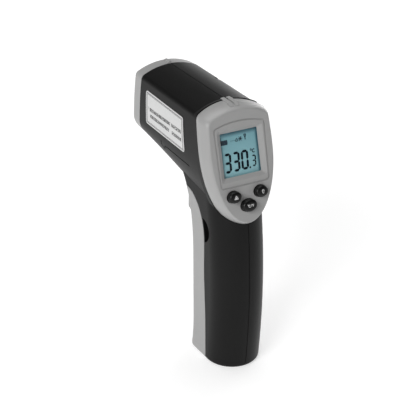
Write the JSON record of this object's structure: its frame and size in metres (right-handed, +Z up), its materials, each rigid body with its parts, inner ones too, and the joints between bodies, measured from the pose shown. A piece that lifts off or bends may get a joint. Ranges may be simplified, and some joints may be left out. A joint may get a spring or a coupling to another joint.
{
  "type": "infrared thermometer",
  "caption": "Pistol-shaped hand-held infrared thermometer with a trigger, a tilted display with round keys, a nose with lens and laser, and a hinged battery door.",
  "frame": {"origin": "centre of the flat end face of the grip", "axes": "+Y the aiming direction, +X the user's right, +Z up along the grip"},
  "size_m": [0.0424, 0.0999, 0.1532],
  "materials": {
    "black_shell": "fine satin texture",
    "grey_trim": "satin",
    "grey_door": "satin",
    "grey_trigger": "satin",
    "black_insert": "matte",
    "infrared_lens": "milky",
    "steel": "plain",
    "tube_plastic": "matte",
    "sensor_can": "bright",
    "circuit_board": "solder mask",
    "brass": "turned",
    "clear_window": "clear",
    "display": "gloss",
    "backlight": "frosted",
    "zebra": "matte",
    "white_frame": "matte",
    "epoxy": "gloss",
    "components": "mixed",
    "key_rubber": "satin",
    "switch_plastic": "matte",
    "plunger": "matte",
    "tray_plastic": "matte",
    "cell_jacket": "printed sleeve",
    "label_sheet": "silver foil paper",
    "wire": "insulation",
    "contact": "nickel"
  },
  "bodies": {
    "case": {"aperture_plate": "black_insert", "battery_leads": "wire", "battery_left": "cell_jacket", "battery_right": "cell_jacket", "battery_springs": "contact", "battery_tray": "tray_plastic", "board_components": "components", "board_screws": "steel", "bridge_plate": "contact", "case_screws": "steel", "contact_plates": "contact", "driver_chip": "epoxy", "hinge_pin": "steel", "key_switches": "switch_plastic", "laser_holder": "tube_plastic", "laser_leads": "wire", "laser_module": "brass", "lcd_backlight": "backlight", "lcd_glass": "display", "lcd_holder": "white_frame", "lcd_window": "clear_window", "left_label": "label_sheet", "left_shell": "black_shell", "lens": "infrared_lens", "lens_retainer": "tube_plastic", "lens_tube": "tube_plastic", "main_board": "circuit_board", "nose_ring": "grey_trim", "rear_bezel": "grey_trim", "right_label": "label_sheet", "right_shell": "black_shell", "sensor_board": "circuit_board", "sensor_leads": "wire", "sensor_screws": "steel", "thermopile": "sensor_can", "trigger_board": "circuit_board", "trigger_leads": "wire", "trigger_pin": "steel", "trigger_spring": "steel", "trigger_switch": "switch_plastic", "zebra_strips": "zebra"},
    "trigger": {"trigger": "grey_trigger"},
    "switch_plunger": {"switch_plunger": "plunger"},
    "battery_door": {"battery_door": "grey_door"},
    "laser_key": {"laser_key": "key_rubber", "laser_plunger": "plunger"},
    "units_key": {"units_key": "key_rubber", "units_plunger": "plunger"},
    "backlight_key": {"backlight_key": "key_rubber", "backlight_plunger": "plunger"}
  },
  "joints": [
    {"name": "trigger_pivot", "type": "hinge", "parent": "case", "child": "trigger", "pos_m": [0, 0.02, 0.1025], "axis": [-1, 0, 0], "range_deg": [0, 5], "stiffness_Nm_per_rad": 0.9, "springref_deg": -6.88, "deforming": ["trigger_spring"]},
    {"name": "switch_plunge", "type": "slide", "parent": "case", "child": "switch_plunger", "axis": [0, 0, 1], "range_m": [0, 0.00065]},
    {"name": "battery_door_hinge", "type": "hinge", "parent": "case", "child": "battery_door", "pos_m": [0, 0.0166, 0.0026], "axis": [-1, 0, 0], "range_deg": [0, 80]},
    {"name": "laser_key_press", "type": "slide", "parent": "case", "child": "laser_key", "axis": [0, 0.9644, -0.2645], "range_m": [0, 0.0006], "stiffness_N_per_m": 500, "springref_m": -0.0004},
    {"name": "units_key_press", "type": "slide", "parent": "case", "child": "units_key", "axis": [0, 0.9644, -0.2645], "range_m": [0, 0.0006], "stiffness_N_per_m": 500, "springref_m": -0.0004},
    {"name": "backlight_key_press", "type": "slide", "parent": "case", "child": "backlight_key", "axis": [0, 0.9644, -0.2645], "range_m": [0, 0.0006], "stiffness_N_per_m": 500, "springref_m": -0.0004}
  ],
  "couplings": [
    {"joint": "switch_plunge", "follows": "trigger_pivot", "m_per_rad": 0.007}
  ]
}
